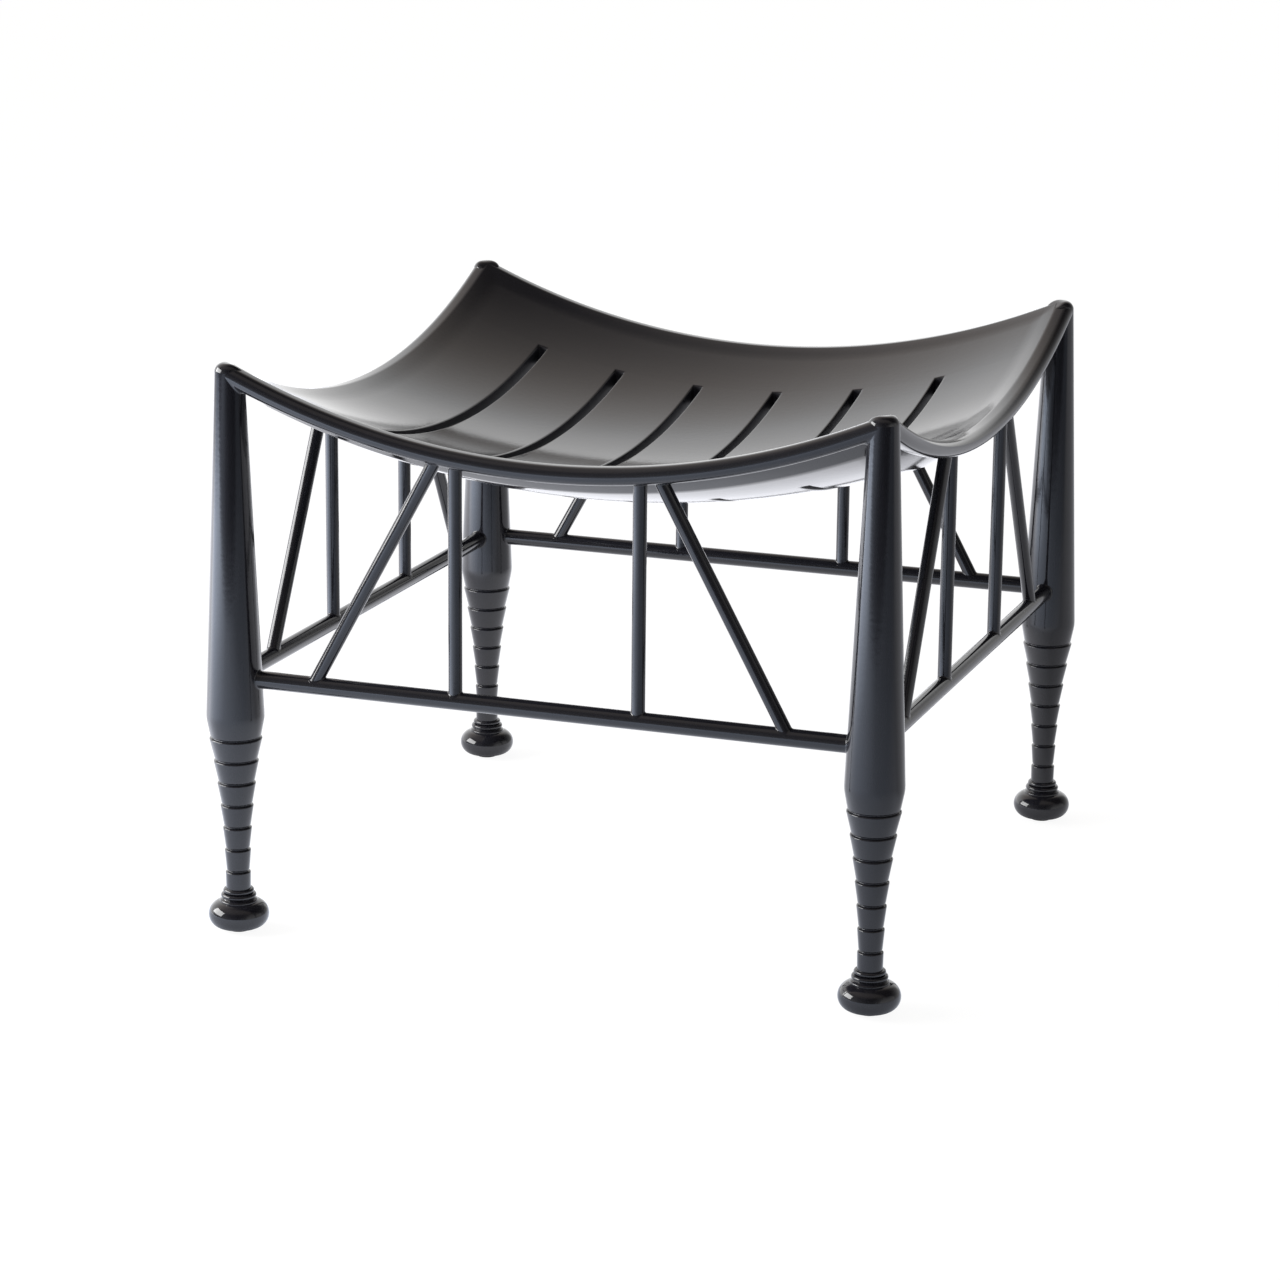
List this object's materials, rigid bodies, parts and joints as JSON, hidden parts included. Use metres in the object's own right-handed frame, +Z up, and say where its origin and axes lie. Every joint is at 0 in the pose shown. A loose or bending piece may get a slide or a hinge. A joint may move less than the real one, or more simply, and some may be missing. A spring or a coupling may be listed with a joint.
{
  "type": "stool",
  "caption": "Low square stool with a dished, slotted seat panel in a sagging round rim, turned legs with ringed ankles and bun feet, and straight and slanting spindles over low stretchers.",
  "frame": {"origin": "middle of the square of legs, at floor level", "axes": "+Z up from the floor, -Y out of the front side, +X to the right seen from the front; the seat's slots run along Y"},
  "size_m": [0.4478, 0.4478, 0.359],
  "materials": {
    "black_lacquer": "high-gloss black lacquer over turned and carved hardwood",
    "dowel_beech": "bare beech",
    "glide_nylon": "moulded nylon",
    "nail_steel": "plain steel nail"
  },
  "bodies": {
    "root": {"seat_panel": "black_lacquer", "rim_rail_front": "black_lacquer", "rim_rail_right": "black_lacquer", "rim_rail_back": "black_lacquer", "rim_rail_left": "black_lacquer", "leg_front_right": "black_lacquer", "leg_back_right": "black_lacquer", "leg_back_left": "black_lacquer", "leg_front_left": "black_lacquer", "stretcher_front": "black_lacquer", "stretcher_right": "black_lacquer", "stretcher_back": "black_lacquer", "stretcher_left": "black_lacquer", "upright_front_left": "black_lacquer", "upright_front_right": "black_lacquer", "upright_right_front": "black_lacquer", "upright_right_back": "black_lacquer", "upright_back_right": "black_lacquer", "upright_back_left": "black_lacquer", "upright_left_back": "black_lacquer", "upright_left_front": "black_lacquer", "brace_front_left": "black_lacquer", "brace_front_right": "black_lacquer", "brace_right_front": "black_lacquer", "brace_right_back": "black_lacquer", "brace_back_right": "black_lacquer", "brace_back_left": "black_lacquer", "brace_left_back": "black_lacquer", "brace_left_front": "black_lacquer", "seat_dowels": "dowel_beech", "foot_glides": "glide_nylon", "glide_nails": "nail_steel"}
  },
  "joints": []
}
